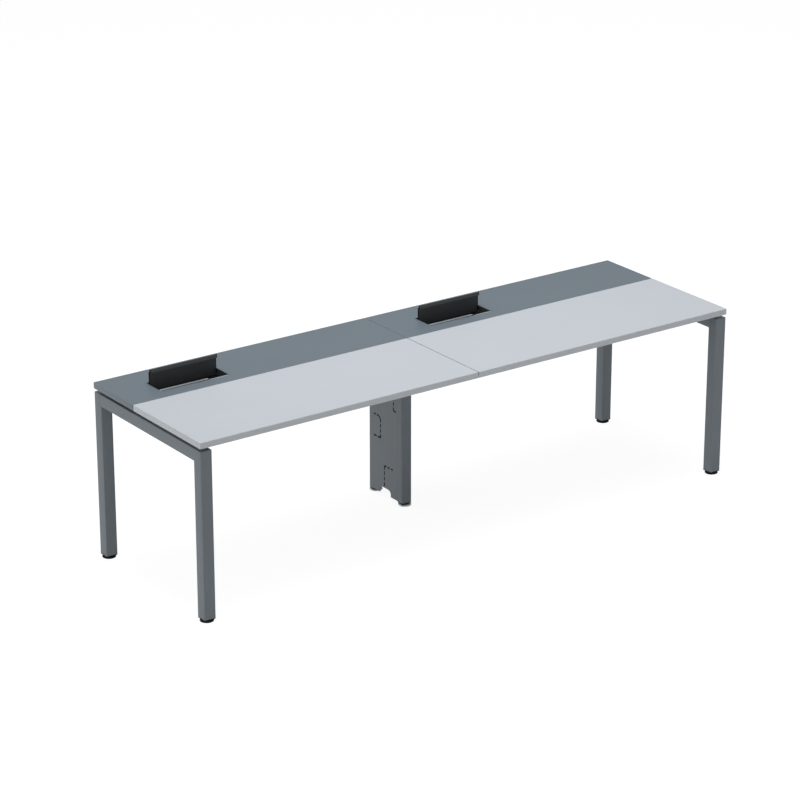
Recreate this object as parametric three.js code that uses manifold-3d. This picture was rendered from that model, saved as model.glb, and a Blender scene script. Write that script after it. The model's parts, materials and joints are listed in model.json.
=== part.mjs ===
// Benching desk for two: pale worktops in front of a grey rear top, each with a tilting cable flap.
// Millimetres. X runs along the desk, Y from the sitters to the rear, Z up from the floor.
import * as THREE from 'three';
import { mergeVertices } from 'three/addons/utils/BufferGeometryUtils.js';
import Module from 'manifold-3d';

const wasm = await Module();
wasm.setup();

// Seats and running gaps
const FIT = 0.3;
const SEAM = 2;

// Tops
const MODULE_LENGTH = 1300;
const WORKTOP_DEPTH = 487;
const REAR_TOP_DEPTH = 301;
const DESK_HEIGHT = 745;
const BOARD = 25;
const EDGING = 2;
const BOARD_CORNER = 3;

// End frames of square tube, with a shadow gap under the tops
const TUBE = 50;
const TUBE_WALL = 2;
const TUBE_CORNER = 2.5;
const FRAME_INSET = 2;
const SHADOW_GAP = 13;
const LEG_BOTTOM = 14;

// Long beams under the tops, and the arm across the middle
const BEAM_WIDTH = 30;
const BEAM_HEIGHT = 50;
const BEAM_CORNER = 3;
const BEAM_WALL = 1.5;
const FRONT_BEAM_SET_BACK = 170;
const REAR_BEAM_SET_BACK = 45;
const END_PLATE = 4;
const END_PLATE_WIDTH = 60;
const END_PLATE_HEIGHT = 44;
const END_PLATE_HOLE = 9;
const ARM_PLUG_DEPTH = 12;
const ARM_PLUG_RIM = 2;
const SEAM_PAD_LENGTH = 60;

// Cable riser in the middle: two posts with a loose cover on each side
const RISER_DEPTH = 240;
const RISER_WIDTH = 50;
const RISER_CENTRE_Y = 213;
const POST_DEPTH = 32;
const POST_WALL = 1.5;
const POST_CORNER = 8;
const COVER = 1.2;
const COVER_GAP = 0.5;
const COVER_LIP = 4;
const COVER_BOTTOM = 16;
const COVER_TOP = 580;
const HEAD_PLATE = 4;
const HEAD_PLATE_CORNER = 8;

// Cable arch and dashed knock-outs in the covers
const ARCH_WIDTH = 76;
const ARCH_HEIGHT = 28;
const ARCH_CORNER = 18;
const KNOCK_OUT_HEIGHT = 96;
const KNOCK_OUT_CORNER = 12;
const REAR_KNOCK_OUT_WIDTH = 52;
const REAR_KNOCK_OUT_LAND = 4;
const REAR_KNOCK_OUT_BOTTOM = 261;
const FRONT_KNOCK_OUT_WIDTH = 30;
const FRONT_KNOCK_OUT_LAND = 12;
const FRONT_KNOCK_OUT_BOTTOM = 411;
const ARCH_KNOCK_OUT_WIDTH = 61;
const ARCH_KNOCK_OUT_HEIGHT = 100;
const ARCH_KNOCK_OUT_INSET = 31;
const SLOT_LENGTH = 15;
const SLOT_WIDTH = 7;
const SLOT_BRIDGE = 8;

// Levelling glides
const PLUG_DEPTH = 26;
const PLUG_RIM = 3;
const PAD_RADIUS = 28;
const PAD_HEIGHT = 8;
const PAD_WAIST = 2;
const PAD_TUCK = 2;
const PAD_SHOULDER = 3;
const STUD_RADIUS = 4;
const STUD_LENGTH = 34;
const STUD_SOCKET = 4;
const COLLAR_RADIUS = 8;

// Cable flaps
const FLAP_LENGTH = 316;
const FLAP_DEPTH = 116.4;
const FLAP_CENTRE_Y = 210.3;
const FLAP_FROM_LEFT = 322.5;
const LINER_WALL = 2;
const LINER_HEIGHT = 40;
const LINER_FLANGE = 12;
const LINER_FLANGE_THICKNESS = 2.5;
const FLAP_RECESS = 0.5;
const LID_THICKNESS = 4;
const LID_TAIL = 18.8;
const LID_GAP = 0.5;
const LID_SWEEP_GAP = 1;
const LIP_DEPTH = 15;
const LIP_STEP = 8.5;
const LIP_NOSE = 6.5;
const PIVOT_DROP = 6;
const PIN_RADIUS = 3;
const PIVOT_BOSS = 6;
const PIVOT_ROOT = 8;
const CAP_THICKNESS = 3;
const STOP_LENGTH = 6;
const STOP_DEPTH = 10;
const STOP_HEIGHT = 4;
const LEDGE_DEPTH = 12;
const SEAT_WIDTH = 21.5;
const NOTCH_LAND = 6;
const SEAT_DROP = 18;
const SEAT_SHEET = 1.5;
const CABLE_NOTCH = 88;

// Cable trays
const TRAY_CENTRE_Y = 213.5;
const TRAY_WIDTH = 150;
const TRAY_DEPTH = 95;
const TRAY_SHEET = 1.5;
const TRAY_FLANGE = 15;
const TRAY_END_GAP = 48;
const TRAY_ARM_GAP = 35;
const TRAY_SLOT_LENGTH = 60;
const TRAY_SLOT_WIDTH = 8;
const TRAY_SLOT_PITCH = 120;
const TRAY_SLOT_ROWS = 46;

// Facets on round pieces
const PAD_SIDES = 24;
const HOLE_SIDES = 12;
const ARC_STEPS = 2;

// Levels and lines worked out from the sizes above
const DESK_DEPTH = WORKTOP_DEPTH + SEAM + REAR_TOP_DEPTH;
const FRONT = -DESK_DEPTH / 2;
const REAR = DESK_DEPTH / 2;
const SEAM_LINE = FRONT + WORKTOP_DEPTH + SEAM / 2;
const BOARD_BOTTOM = DESK_HEIGHT - BOARD;
const FRAME_TOP = BOARD_BOTTOM - SHADOW_GAP;
const FRAME_BOTTOM = FRAME_TOP - TUBE;
const FRAME_END = MODULE_LENGTH - FRAME_INSET;
const LEG_Y = REAR - FRAME_INSET - TUBE / 2;
const SEAT_LEVEL = BOARD_BOTTOM - FIT;
const ARM_HALF = TUBE / 2;
const FRONT_BEAM_Y = FRONT + FRONT_BEAM_SET_BACK;
const REAR_BEAM_Y = REAR - REAR_BEAM_SET_BACK;
const ARM_FRONT = FRONT_BEAM_Y - END_PLATE_WIDTH / 2;
const ARM_REAR = REAR_BEAM_Y + END_PLATE_WIDTH / 2;
const RISER_FRONT = RISER_CENTRE_Y - RISER_DEPTH / 2;
const POST_INNER = RISER_FRONT + POST_DEPTH;
const POST_CENTRE = RISER_FRONT + POST_DEPTH / 2;
const POST_TOP = FRAME_BOTTOM - HEAD_PLATE - 2 * FIT;
const PLUG_SEAT = LEG_BOTTOM - FIT;

const PIVOT_Z = DESK_HEIGHT - FLAP_RECESS - PIVOT_DROP;
const WELL_REAR = FLAP_CENTRE_Y + FLAP_DEPTH / 2 - FIT - LINER_WALL;
const WELL_FRONT = FLAP_CENTRE_Y - FLAP_DEPTH / 2 + FIT + LINER_WALL;
const WELL_HALF = FLAP_LENGTH / 2 - FIT - LINER_WALL;
const PIVOT_Y = WELL_REAR - LID_SWEEP_GAP - Math.hypot(LID_TAIL, PIVOT_DROP);
const SEAT_FRONT = WELL_FRONT + FIT;
const LID_FRONT = SEAT_FRONT + SEAT_WIDTH + LID_GAP;
const LID_REACH = PIVOT_Y - LID_FRONT;
const LID_UNDER = PIVOT_DROP - LID_THICKNESS;
const LID_HALF = WELL_HALF - LID_GAP;
const QUARTER_TURN = Math.PI / 2;

const AXIS_X = new THREE.Vector3(1, 0, 0);
const AXIS_Y = new THREE.Vector3(0, 1, 0);
const AXIS_Z = new THREE.Vector3(0, 0, 1);

// Outlines

function polygon(points) {
  return new THREE.Shape(points.map(([u, v]) => new THREE.Vector2(u, v)));
}

function rectangle(u0, v0, u1, v1, radius = 0) {
  if (radius === 0) return polygon([[u0, v0], [u1, v0], [u1, v1], [u0, v1]]);
  const outline = new THREE.Shape();
  outline.absarc(u1 - radius, v0 + radius, radius, -QUARTER_TURN, 0);
  outline.absarc(u1 - radius, v1 - radius, radius, 0, QUARTER_TURN);
  outline.absarc(u0 + radius, v1 - radius, radius, QUARTER_TURN, 2 * QUARTER_TURN);
  outline.absarc(u0 + radius, v0 + radius, radius, 2 * QUARTER_TURN, 3 * QUARTER_TURN);
  outline.closePath();
  return outline;
}

function centred(width, height, radius = 0) {
  return rectangle(-width / 2, -height / 2, width / 2, height / 2, radius);
}

function circle(u, v, radius) {
  const outline = new THREE.Path();
  for (let side = 0; side < HOLE_SIDES; side += 1) {
    const turn = (4 * QUARTER_TURN * side) / HOLE_SIDES;
    const point = [u + radius * Math.cos(turn), v + radius * Math.sin(turn)];
    if (side === 0) outline.moveTo(...point);
    else outline.lineTo(...point);
  }
  outline.closePath();
  return outline;
}

function pierced(outline, ...holes) {
  outline.holes.push(...holes);
  return outline;
}

function tubeOutline(width, height, wall, corner) {
  const inner = Math.max(corner - wall, 0);
  return pierced(centred(width, height, corner), centred(width - 2 * wall, height - 2 * wall, inner));
}

// Sweeps

function swept(outline, length) {
  return new THREE.ExtrudeGeometry(outline, {
    depth: length,
    bevelEnabled: false,
    curveSegments: ARC_STEPS,
  });
}

// An outline drawn in X and Y, swept upwards from a height.
function sweptUp(outline, height, length) {
  return swept(outline, length).translate(0, 0, height);
}

// An outline drawn in Y and Z, swept along the desk from a place on X.
function sweptAlong(outline, start, length) {
  const turn = new THREE.Matrix4().makeBasis(AXIS_Y, AXIS_Z, AXIS_X);
  return swept(outline, length).applyMatrix4(turn).translate(start, 0, 0);
}

// An outline drawn in X and Z, swept to the rear from a place on Y.
function sweptBack(outline, start, length) {
  const turn = new THREE.Matrix4().makeBasis(AXIS_X, AXIS_Z, AXIS_Y.clone().negate());
  return swept(outline, length).applyMatrix4(turn).translate(0, start + length, 0);
}

function block(x0, x1, y0, y1, z0, z1) {
  const box = new THREE.BoxGeometry(x1 - x0, y1 - y0, z1 - z0);
  return box.translate((x0 + x1) / 2, (y0 + y1) / 2, (z0 + z1) / 2);
}

function pinAlong(x0, x1, radius) {
  return new THREE.CylinderGeometry(radius, radius, x1 - x0, HOLE_SIDES)
    .rotateZ(QUARTER_TURN)
    .translate((x0 + x1) / 2, 0, 0);
}

// A profile of radius and height pairs turned round the Z axis.
function turned(profile, sides) {
  const points = profile.map(([radius, height]) => new THREE.Vector2(radius, height));
  return new THREE.LatheGeometry(points, sides).rotateX(QUARTER_TURN);
}

// Joining and cutting

function solid(geometry) {
  const bare = geometry.clone();
  bare.deleteAttribute('normal');
  bare.deleteAttribute('uv');
  const merged = mergeVertices(bare, 1e-4);
  const vertProperties = merged.attributes.position.array;
  const triVerts = new Uint32Array(merged.index.array);
  return new wasm.Manifold(new wasm.Mesh({ numProp: 3, vertProperties, triVerts }));
}

function geometryOf(body) {
  const mesh = body.getMesh();
  const geometry = new THREE.BufferGeometry();
  geometry.setAttribute('position', new THREE.BufferAttribute(mesh.vertProperties, 3));
  geometry.setIndex(new THREE.BufferAttribute(mesh.triVerts, 1));
  geometry.computeVertexNormals();
  return geometry;
}

function joined(first, ...others) {
  return geometryOf(others.reduce((body, other) => body.add(solid(other)), solid(first)));
}

function cut(first, ...cutters) {
  return geometryOf(cutters.reduce((body, cutter) => body.subtract(solid(cutter)), solid(first)));
}

// Finishes

function finish(color, roughness, metalness = 0) {
  return () => new THREE.MeshStandardMaterial({ color, roughness, metalness });
}

const PALE_MELAMINE = finish('#c7cdd2', 0.5);
const GREY_MELAMINE = finish('#7c858d', 0.5);
const PALE_EDGING = finish('#bcc0c4', 0.45);
const GREY_EDGING = finish('#767e85', 0.45);
const FRAME_PAINT = finish('#6e7479', 0.45, 0.1);
const BLACK_PLASTIC = finish('#1f2123', 0.5);
const LID_PAINT = finish('#26292b', 0.4, 0.2);
const SEAT_PAINT = finish('#85898c', 0.4, 0.3);
const ZINC = finish('#9da2a6', 0.35, 0.9);

const desk = new THREE.Group();

function add(parent, name, geometry, material) {
  const mesh = new THREE.Mesh(geometry, material());
  mesh.name = name;
  parent.add(mesh);
  return mesh;
}

function place(parent, x, y, z) {
  const group = new THREE.Group();
  group.position.set(x, y, z);
  parent.add(group);
  return group;
}

// Tops: a board with a band glued round its edge, in two modules of front and rear boards

function banded(x0, x1, y0, y1, hole) {
  const core = EDGING + FIT;
  const coreCorner = Math.max(BOARD_CORNER - core, 0);
  const board = rectangle(x0 + core, y0 + core, x1 - core, y1 - core, coreCorner);
  const inner = Math.max(BOARD_CORNER - EDGING, 0);
  const band = pierced(
    rectangle(x0, y0, x1, y1, BOARD_CORNER),
    rectangle(x0 + EDGING, y0 + EDGING, x1 - EDGING, y1 - EDGING, inner),
  );
  if (hole) board.holes.push(hole);
  return {
    board: sweptUp(board, BOARD_BOTTOM, BOARD),
    band: sweptUp(band, BOARD_BOTTOM, BOARD),
  };
}

function flapCentre(side) {
  return (side < 0 ? -MODULE_LENGTH : 0) + FLAP_FROM_LEFT;
}

function addTops(side, sideName) {
  const inner = SEAM / 2;
  const [x0, x1] = side < 0 ? [-MODULE_LENGTH, -inner] : [inner, MODULE_LENGTH];
  const worktop = banded(x0, x1, FRONT, SEAM_LINE - inner);
  add(desk, `worktop_${sideName}`, worktop.board, PALE_MELAMINE);
  add(desk, `worktop_${sideName}_edging`, worktop.band, PALE_EDGING);

  const middle = flapCentre(side);
  const cutOut = rectangle(
    middle - FLAP_LENGTH / 2,
    FLAP_CENTRE_Y - FLAP_DEPTH / 2,
    middle + FLAP_LENGTH / 2,
    FLAP_CENTRE_Y + FLAP_DEPTH / 2,
  );
  const rearTop = banded(x0, x1, SEAM_LINE + inner, REAR, cutOut);
  add(desk, `rear_top_${sideName}`, rearTop.board, GREY_MELAMINE);
  add(desk, `rear_top_${sideName}_edging`, rearTop.band, GREY_EDGING);
}

// Levelling glide: a plug fixed in the leg, a pad on the floor and a screw between them

function plugGeometry(rimOutline, boreOutline) {
  const holeRadius = STUD_RADIUS + FIT;
  const rim = pierced(rimOutline, circle(0, 0, holeRadius));
  const bore = pierced(boreOutline, circle(0, 0, holeRadius));
  const rimBottom = PLUG_SEAT - PLUG_RIM;
  return joined(sweptUp(rim, rimBottom, PLUG_RIM), sweptUp(bore, rimBottom, PLUG_RIM + PLUG_DEPTH));
}

function padGeometry() {
  const socketFloor = PAD_HEIGHT - STUD_SOCKET;
  const socketRadius = STUD_RADIUS + FIT;
  return turned([
    [0, 0],
    [PAD_RADIUS - PAD_TUCK, 0],
    [PAD_RADIUS, PAD_WAIST],
    [PAD_RADIUS - PAD_SHOULDER, PAD_HEIGHT],
    [socketRadius, PAD_HEIGHT],
    [socketRadius, socketFloor],
    [0, socketFloor],
  ], PAD_SIDES);
}

function studGeometry() {
  const foot = PAD_HEIGHT - STUD_SOCKET + FIT;
  const collarBottom = PAD_HEIGHT + FIT;
  const collarTop = PLUG_SEAT - PLUG_RIM - FIT;
  return turned([
    [0, foot],
    [STUD_RADIUS, foot],
    [STUD_RADIUS, collarBottom],
    [COLLAR_RADIUS, collarBottom],
    [COLLAR_RADIUS, collarTop],
    [STUD_RADIUS, collarTop],
    [STUD_RADIUS, foot + STUD_LENGTH],
    [0, foot + STUD_LENGTH],
  ], HOLE_SIDES);
}

function addGlide(spot, plugName, name, plug, padFinish) {
  add(spot, plugName, plug, BLACK_PLASTIC);
  add(spot, `${name}_glide_pad`, padGeometry(), padFinish);
  add(spot, `${name}_glide_screw`, studGeometry(), ZINC);
}

// End frames: two capped legs and a rail between them

function addEndFrame(side, sideName) {
  const x = side * (FRAME_END - TUBE / 2);
  for (const [depth, depthName] of [[-1, 'front'], [1, 'rear']]) {
    const y = depth * LEG_Y;
    const name = `${sideName}_${depthName}_leg`;
    const bore = TUBE - 2 * TUBE_WALL;
    const boreCorner = Math.max(TUBE_CORNER - TUBE_WALL, 0);
    const leg = sweptUp(centred(TUBE, TUBE, TUBE_CORNER), LEG_BOTTOM, FRAME_TOP - LEG_BOTTOM);
    const hollow = sweptUp(centred(bore, bore, boreCorner), 0, FRAME_TOP - TUBE_WALL);
    const spot = place(desk, x, y, 0);
    add(spot, name, cut(leg, hollow), FRAME_PAINT);
    const core = bore - 2 * FIT;
    const plug = plugGeometry(centred(TUBE, TUBE, TUBE_CORNER), centred(core, core, boreCorner));
    addGlide(spot, `${name}_plug`, name, plug, BLACK_PLASTIC);
  }
  const railHalf = LEG_Y - TUBE / 2 - FIT;
  const rail = tubeOutline(TUBE, TUBE, TUBE_WALL, TUBE_CORNER);
  const spot = place(desk, x, 0, FRAME_BOTTOM + TUBE / 2);
  add(spot, `${sideName}_top_rail`, sweptBack(rail, -railHalf, 2 * railHalf), FRAME_PAINT);
}

// Beams: a tube with a bolting plate at each end, from the end rail to the middle arm

function beamGeometry(start, end) {
  const tube = tubeOutline(BEAM_WIDTH, BEAM_HEIGHT, BEAM_WALL, BEAM_CORNER);
  const plateTop = FRAME_TOP - SEAT_LEVEL + BEAM_HEIGHT / 2;
  const plate = pierced(
    rectangle(-END_PLATE_WIDTH / 2, plateTop - END_PLATE_HEIGHT, END_PLATE_WIDTH / 2, plateTop),
    circle(0, plateTop - END_PLATE_HEIGHT / 2, END_PLATE_HOLE),
  );
  return joined(
    sweptAlong(tube, start + END_PLATE / 2, end - start - END_PLATE),
    sweptAlong(plate, start, END_PLATE),
    sweptAlong(plate, end - END_PLATE, END_PLATE),
  );
}

function addBeams(side, sideName) {
  const reach = [ARM_HALF + FIT, FRAME_END - TUBE - FIT];
  const [start, end] = side < 0 ? [-reach[1], -reach[0]] : reach;
  const lines = [['front', FRONT_BEAM_Y], ['seam', SEAM_LINE], ['rear', REAR_BEAM_Y]];
  for (const [lineName, y] of lines) {
    const spot = place(desk, 0, y, SEAT_LEVEL - BEAM_HEIGHT / 2);
    add(spot, `${lineName}_beam_${sideName}`, beamGeometry(start, end), FRAME_PAINT);
  }
}

// Middle arm, on top of the riser, with plugged ends and two pads under the seam of the tops

function armPlugGeometry(front) {
  const bore = TUBE - 2 * TUBE_WALL - 2 * FIT;
  const boreCorner = Math.max(TUBE_CORNER - TUBE_WALL - FIT, 0);
  const rim = centred(TUBE, TUBE, TUBE_CORNER);
  const rimStart = front ? ARM_FRONT - FIT - ARM_PLUG_RIM : ARM_REAR + FIT;
  const coreStart = front ? rimStart : rimStart + ARM_PLUG_RIM - ARM_PLUG_DEPTH;
  return joined(
    sweptBack(rim, rimStart, ARM_PLUG_RIM),
    sweptBack(centred(bore, bore, boreCorner), coreStart, ARM_PLUG_DEPTH),
  );
}

function addArm() {
  const spot = place(desk, 0, 0, FRAME_BOTTOM + TUBE / 2);
  const tube = tubeOutline(TUBE, TUBE, TUBE_WALL, TUBE_CORNER);
  add(spot, 'middle_arm', sweptBack(tube, ARM_FRONT, ARM_REAR - ARM_FRONT), FRAME_PAINT);
  add(spot, 'middle_arm_front_plug', armPlugGeometry(true), BLACK_PLASTIC);
  add(spot, 'middle_arm_rear_plug', armPlugGeometry(false), BLACK_PLASTIC);
  const places = [['front', (FRONT_BEAM_Y + SEAM_LINE) / 2], ['rear', (REAR_BEAM_Y + SEAM_LINE) / 2]];
  for (const [name, y] of places) {
    const pad = rectangle(
      -TUBE / 2 + TUBE_CORNER,
      y - SEAM_PAD_LENGTH / 2,
      TUBE / 2 - TUBE_CORNER,
      y + SEAM_PAD_LENGTH / 2,
      TUBE_CORNER,
    );
    add(desk, `seam_pad_${name}`, sweptUp(pad, FRAME_TOP + FIT, SHADOW_GAP - 2 * FIT), BLACK_PLASTIC);
  }
}

// Cable riser: rounded posts whose inner lips carry the flush side covers

function postOutline() {
  const half = RISER_WIDTH / 2;
  const lipOuter = half - COVER - FIT;
  const lipInner = lipOuter - POST_WALL;
  const back = POST_DEPTH / 2;
  const lipEnd = back + COVER_LIP;
  const outline = new THREE.Shape();
  outline.absarc(-half + POST_CORNER, -back + POST_CORNER, POST_CORNER, 2 * QUARTER_TURN, 3 * QUARTER_TURN);
  outline.absarc(half - POST_CORNER, -back + POST_CORNER, POST_CORNER, 3 * QUARTER_TURN, 4 * QUARTER_TURN);
  for (const turn of [1, -1]) {
    const lip = [[half, back], [lipOuter, back], [lipOuter, lipEnd], [lipInner, lipEnd], [lipInner, back]];
    const path = turn > 0 ? lip : lip.reverse();
    for (const [u, v] of path) outline.lineTo(turn * u, v);
  }
  outline.closePath();
  return outline;
}

function postBore(inset) {
  const half = RISER_WIDTH / 2 - inset;
  const back = POST_DEPTH / 2 - inset;
  const corner = POST_CORNER - inset;
  const outline = new THREE.Shape();
  outline.absarc(-half + corner, -back + corner, corner, 2 * QUARTER_TURN, 3 * QUARTER_TURN);
  outline.absarc(half - corner, -back + corner, corner, 3 * QUARTER_TURN, 4 * QUARTER_TURN);
  outline.lineTo(half, back);
  outline.lineTo(-half, back);
  outline.closePath();
  return outline;
}

// A dashed line of slots that fills the way from one point to another, as outlines to cut.
function slotRow([u0, v0], [u1, v1]) {
  const length = Math.hypot(u1 - u0, v1 - v0);
  const along = [(u1 - u0) / length, (v1 - v0) / length];
  const count = Math.max(Math.round((length + SLOT_BRIDGE) / (SLOT_LENGTH + SLOT_BRIDGE)), 1);
  const slot = (length + SLOT_BRIDGE) / count - SLOT_BRIDGE;
  const half = SLOT_WIDTH / 2;
  const slots = [];
  for (let index = 0; index < count; index += 1) {
    const start = index * (slot + SLOT_BRIDGE);
    const corners = [[0, -half], [slot, -half], [slot, half], [0, half]];
    const points = corners.map(([forward, across]) => [
      u0 + along[0] * (start + forward) - along[1] * across,
      v0 + along[1] * (start + forward) + along[0] * across,
    ]);
    slots.push(polygon(points));
  }
  return slots;
}

// Three dashed sides of a knock-out, from an upright line to a land left at the cover's edge.
// Its upper corner is eased.
function edgeKnockOut(line, end, bottom) {
  const top = bottom + KNOCK_OUT_HEIGHT;
  const eased = line + Math.sign(end - line) * KNOCK_OUT_CORNER;
  return [
    ...slotRow([line, bottom], [line, top - KNOCK_OUT_CORNER]),
    ...slotRow([line, top - KNOCK_OUT_CORNER], [eased, top]),
    ...slotRow([eased, top], [end, top]),
    ...slotRow([line, bottom], [end, bottom]),
  ];
}

function coverGeometry(start) {
  const front = POST_INNER + COVER_GAP;
  const rear = RISER_FRONT + RISER_DEPTH - POST_DEPTH - COVER_GAP;
  const archFront = RISER_CENTRE_Y - ARCH_WIDTH / 2;
  const archRear = archFront + ARCH_WIDTH;
  const archTop = COVER_BOTTOM + ARCH_HEIGHT;
  const outline = new THREE.Shape();
  outline.moveTo(rear, COVER_BOTTOM);
  outline.lineTo(rear, COVER_TOP);
  outline.lineTo(front, COVER_TOP);
  outline.lineTo(front, COVER_BOTTOM);
  outline.lineTo(archFront, COVER_BOTTOM);
  const corner = [archTop - ARCH_CORNER, ARCH_CORNER];
  outline.absarc(archFront + ARCH_CORNER, ...corner, 2 * QUARTER_TURN, QUARTER_TURN, true);
  outline.absarc(archRear - ARCH_CORNER, ...corner, QUARTER_TURN, 0, true);
  outline.lineTo(archRear, COVER_BOTTOM);
  outline.closePath();

  const rearLine = rear - REAR_KNOCK_OUT_WIDTH;
  const frontLine = front + FRONT_KNOCK_OUT_WIDTH;
  const archLine = archRear - ARCH_KNOCK_OUT_INSET;
  const upperArch = archTop + ARCH_KNOCK_OUT_HEIGHT;
  const slots = [
    ...edgeKnockOut(rearLine, rear - REAR_KNOCK_OUT_LAND, REAR_KNOCK_OUT_BOTTOM),
    ...edgeKnockOut(frontLine, front + FRONT_KNOCK_OUT_LAND, FRONT_KNOCK_OUT_BOTTOM),
    ...slotRow([archLine, archTop + SLOT_BRIDGE], [archLine, upperArch]),
    ...slotRow([archLine, upperArch], [archLine - ARCH_KNOCK_OUT_WIDTH, upperArch]),
  ];
  const cutters = slots.map((slot) => sweptAlong(slot, start - COVER, 3 * COVER));
  return cut(sweptAlong(outline, start, COVER), ...cutters);
}

function addRiser() {
  const posts = [['front', 0, POST_CENTRE], ['rear', 2 * QUARTER_TURN, 2 * RISER_CENTRE_Y - POST_CENTRE]];
  for (const [name, turn, y] of posts) {
    const spot = place(desk, 0, y, 0);
    spot.rotation.z = turn;
    const tube = pierced(postOutline(), postBore(POST_WALL));
    add(spot, `riser_${name}_post`, sweptUp(tube, LEG_BOTTOM, POST_TOP - LEG_BOTTOM), FRAME_PAINT);
    const plug = plugGeometry(postBore(0), postBore(POST_WALL + FIT));
    addGlide(spot, `riser_${name}_post_plug`, `riser_${name}`, plug, ZINC);
  }
  const face = RISER_WIDTH / 2;
  add(desk, 'riser_left_cover', coverGeometry(-face), FRAME_PAINT);
  add(desk, 'riser_right_cover', coverGeometry(face - COVER), FRAME_PAINT);
  const head = rectangle(
    -face,
    RISER_FRONT,
    face,
    RISER_FRONT + RISER_DEPTH,
    HEAD_PLATE_CORNER,
  );
  add(desk, 'riser_head_plate', sweptUp(head, POST_TOP + FIT, HEAD_PLATE), FRAME_PAINT);
}

// Cable flap: a liner in the cut-out, a flush strip along its front and a lid on end pins.
// The lid is drawn closed round its pivot and stands open, a quarter turn back.

function linerGeometry() {
  const outerHalf = WELL_HALF + LINER_WALL;
  const front = WELL_FRONT - LINER_WALL;
  const rear = WELL_REAR + LINER_WALL;
  const top = DESK_HEIGHT - FLAP_RECESS;
  const well = () => rectangle(-WELL_HALF, WELL_FRONT, WELL_HALF, WELL_REAR);
  const wall = pierced(rectangle(-outerHalf, front, outerHalf, rear), well());
  const flangeHalf = outerHalf + LINER_FLANGE;
  const flange = pierced(
    rectangle(-flangeHalf, front - LINER_FLANGE, flangeHalf, rear + LINER_FLANGE),
    well(),
  );
  const stopRear = PIVOT_Y + LID_UNDER - FIT;
  const stopBottom = PIVOT_Z - LID_TAIL;
  const ledgeTop = PIVOT_Z + LID_UNDER - LIP_STEP - FIT;
  const stops = [-1, 1].flatMap((end) => {
    const [x0, x1] = [WELL_HALF - STOP_LENGTH, outerHalf].map((x) => end * x).sort((a, b) => a - b);
    return [
      block(x0, x1, stopRear - STOP_DEPTH, stopRear, stopBottom, stopBottom + STOP_HEIGHT),
      block(x0, x1, LID_FRONT, LID_FRONT + LEDGE_DEPTH, ledgeTop - STOP_HEIGHT, ledgeTop),
    ];
  });
  const body = joined(
    sweptUp(wall, top - LINER_HEIGHT, LINER_HEIGHT),
    sweptUp(flange, SEAT_LEVEL - LINER_FLANGE_THICKNESS, LINER_FLANGE_THICKNESS),
    ...stops,
  );
  const bearing = pinAlong(-outerHalf - LINER_WALL, outerHalf + LINER_WALL, PIN_RADIUS + FIT);
  return cut(body, bearing.translate(0, PIVOT_Y, PIVOT_Z));
}

// An angle along the front of the well, with a wide shelf that stops at the cable notch.
function seatGeometry() {
  const top = DESK_HEIGHT - FLAP_RECESS;
  const start = -WELL_HALF + FIT;
  const angle = polygon([
    [SEAT_FRONT, top - SEAT_DROP],
    [SEAT_FRONT + SEAT_SHEET, top - SEAT_DROP],
    [SEAT_FRONT + SEAT_SHEET, top - SEAT_SHEET],
    [SEAT_FRONT + NOTCH_LAND, top - SEAT_SHEET],
    [SEAT_FRONT + NOTCH_LAND, top],
    [SEAT_FRONT, top],
  ]);
  const shelfEnd = WELL_HALF - CABLE_NOTCH;
  return joined(
    sweptAlong(angle, start, -2 * start),
    block(start, shelfEnd, SEAT_FRONT + SEAT_SHEET, SEAT_FRONT + SEAT_WIDTH, top - SEAT_SHEET, top),
  );
}

// The lid's free edge steps down to a sloped lip of the same thickness.
const lidFront = [
  [-LID_REACH + LIP_DEPTH, LID_UNDER],
  [-LID_REACH + LIP_DEPTH, LID_UNDER - LIP_STEP],
  [-LID_REACH, LID_UNDER - LIP_NOSE],
  [-LID_REACH, PIVOT_DROP - LIP_NOSE],
  [-LID_REACH + LIP_DEPTH - LID_THICKNESS, PIVOT_DROP - LIP_STEP],
  [-LID_REACH + LIP_DEPTH - LID_THICKNESS, PIVOT_DROP],
];
const lidTail = [[LID_TAIL, PIVOT_DROP], [LID_TAIL, LID_UNDER]];

function lidGeometry() {
  const half = LID_HALF - CAP_THICKNESS - FIT;
  return sweptAlong(polygon([...lidFront, ...lidTail]), -half, 2 * half);
}

function endCapGeometry(end) {
  const outline = new THREE.Shape();
  outline.moveTo(-PIVOT_ROOT, LID_UNDER);
  for (const point of [...lidFront, ...lidTail, [PIVOT_ROOT, LID_UNDER]]) outline.lineTo(...point);
  outline.absarc(0, 0, PIVOT_BOSS, 0, 2 * QUARTER_TURN, true);
  outline.closePath();
  const inner = LID_HALF - CAP_THICKNESS;
  const tip = WELL_HALF + LINER_WALL - FIT;
  const plate = sweptAlong(outline, end < 0 ? -LID_HALF : inner, CAP_THICKNESS);
  const pin = end < 0 ? pinAlong(-tip, -inner - FIT, PIN_RADIUS) : pinAlong(inner + FIT, tip, PIN_RADIUS);
  return joined(plate, pin);
}

function addFlap(side, sideName) {
  const unit = place(desk, flapCentre(side), 0, 0);
  add(unit, `flap_liner_${sideName}`, linerGeometry(), BLACK_PLASTIC);
  add(unit, `flap_seat_strip_${sideName}`, seatGeometry(), SEAT_PAINT);
  const pivot = place(unit, 0, PIVOT_Y, PIVOT_Z);
  pivot.rotation.x = -QUARTER_TURN;
  add(pivot, `flap_lid_${sideName}`, lidGeometry(), LID_PAINT);
  add(pivot, `flap_lid_${sideName}_left_cap`, endCapGeometry(-1), BLACK_PLASTIC);
  add(pivot, `flap_lid_${sideName}_right_cap`, endCapGeometry(1), BLACK_PLASTIC);
}

// Cable tray: a folded trough screwed under the rear top, with tie slots in its floor

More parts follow.
